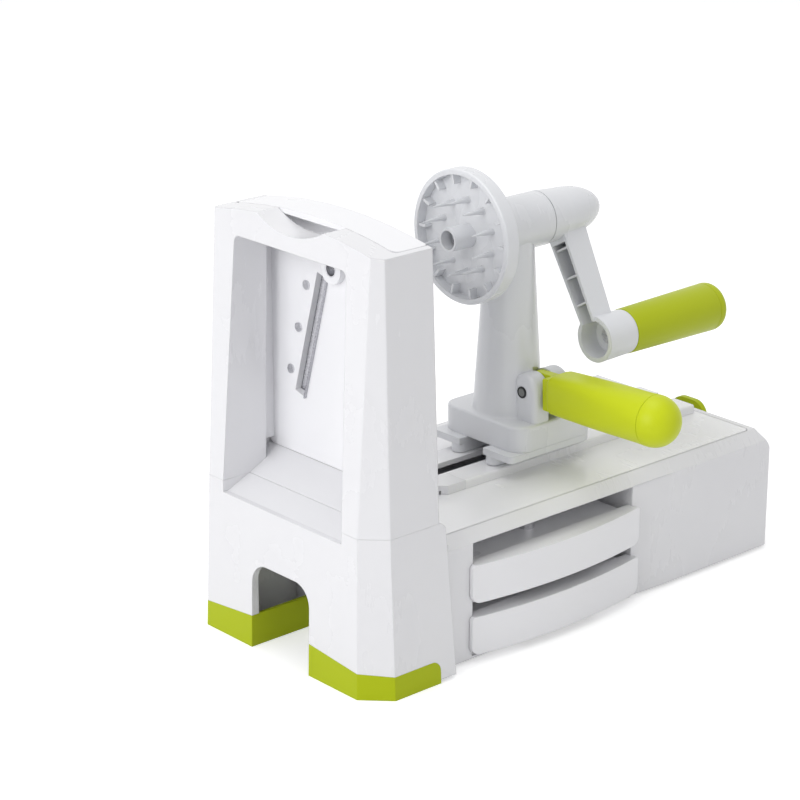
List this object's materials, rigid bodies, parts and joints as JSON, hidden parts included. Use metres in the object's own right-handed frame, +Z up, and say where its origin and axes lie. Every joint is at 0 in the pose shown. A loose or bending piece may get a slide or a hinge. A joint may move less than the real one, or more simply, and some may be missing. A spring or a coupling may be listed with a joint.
{
  "type": "hand-cranked spiralizer",
  "caption": "Hand-cranked spiralizer: cutting tower with a lift-out blade tray, stored trays, a sliding carriage with a crank and a lever-worked suction foot.",
  "frame": {"origin": "under the middle of the whole object, on the table", "axes": "+X from the cutting tower to the crank along the crank's axis, +Z up, stored trays open towards -Y"},
  "size_m": [0.322, 0.1998, 0.249],
  "materials": {
    "white_plastic": "semi-gloss moulded plastic",
    "lime_plastic": "semi-gloss moulded plastic",
    "lime_soft": "soft satin moulding",
    "grey_rubber": "soft translucent grey rubber",
    "bearing_plastic": "self-lubricating plastic",
    "plain_steel": "turned stainless steel",
    "blade_steel": "ground stainless steel"
  },
  "bodies": {
    "base": {"base_housing": "white_plastic", "base_bottom_cover": "white_plastic", "cover_screws": "plain_steel", "deck_panel": "white_plastic", "front_stop": "white_plastic", "near_foot_shoe": "lime_soft", "far_foot_shoe": "lime_soft", "rear_feet": "grey_rubber", "tower_frame": "white_plastic", "tower_screws": "plain_steel", "suction_cup": "grey_rubber", "lever_pin": "plain_steel"},
    "rod": {"suction_rod": "plain_steel", "rod_pin": "plain_steel"},
    "lever": {"suction_lever": "lime_plastic"},
    "carriage": {"carriage_column": "white_plastic", "carriage_slider": "white_plastic", "slider_keeper": "white_plastic", "carriage_screws": "plain_steel", "keeper_screws": "plain_steel", "front_bush": "bearing_plastic", "rear_bush": "bearing_plastic", "handle_pin": "plain_steel"},
    "crank": {"crank_shaft": "plain_steel", "food_holder": "white_plastic", "holder_screw": "plain_steel", "thrust_washer": "bearing_plastic", "crank_arm": "white_plastic", "grip_spindle": "plain_steel"},
    "grip": {"crank_grip": "lime_plastic", "grip_end_cap": "lime_plastic"},
    "handle": {"push_handle": "lime_plastic", "handle_end_cap": "lime_plastic"},
    "tray_in_use": {"fitted_blade": "blade_steel", "fitted_comb": "blade_steel", "fitted_core_tube": "blade_steel", "fitted_rivets": "plain_steel", "fitted_tray": "white_plastic"},
    "tray_upper": {"upper_blade": "blade_steel", "upper_comb": "blade_steel", "upper_core_tube": "blade_steel", "upper_rivets": "plain_steel", "upper_tray": "white_plastic"},
    "tray_lower": {"lower_blade": "blade_steel", "lower_core_tube": "blade_steel", "lower_rivets": "plain_steel", "lower_tray": "white_plastic"}
  },
  "joints": [
    {"name": "carriage_slide", "type": "slide", "parent": "base", "child": "carriage", "axis": [1, 0, 0], "range_m": [-0.07, 0.092]},
    {"name": "crank_turn", "type": "hinge", "parent": "carriage", "child": "crank", "pos_m": [0.0064, 0.02222, 0.2115], "axis": [1, 0, 0], "continuous": true},
    {"name": "grip_turn", "type": "hinge", "parent": "crank", "child": "grip", "pos_m": [0.1014, -0.01478, 0.14741], "axis": [1, 0, 0], "continuous": true},
    {"name": "handle_fold", "type": "hinge", "parent": "carriage", "child": "handle", "pos_m": [0.0114, 0.00122, 0.1215], "axis": [-1, 0, 0], "range_deg": [0, 46]},
    {"name": "tray_lift", "type": "slide", "parent": "base", "child": "tray_in_use", "axis": [0, 0, 1], "range_m": [0, 0.16]},
    {"name": "upper_tray_slide", "type": "slide", "parent": "base", "child": "tray_upper", "axis": [0, -1, 0], "range_m": [0, 0.14]},
    {"name": "lower_tray_slide", "type": "slide", "parent": "base", "child": "tray_lower", "axis": [0, -1, 0], "range_m": [0, 0.14]},
    {"name": "lever_turn", "type": "hinge", "parent": "base", "child": "lever", "pos_m": [0.1064, 0.02222, 0.04], "axis": [0, 1, 0], "range_deg": [0, 28]},
    {"name": "rod_lift", "type": "slide", "parent": "base", "child": "rod", "axis": [0, 0, 1], "range_m": [0, 0.0045], "deforming": ["suction_cup"]}
  ],
  "couplings": [
    {"joint": "rod_lift", "follows": "lever_turn", "m_per_rad": 0.009}
  ]
}
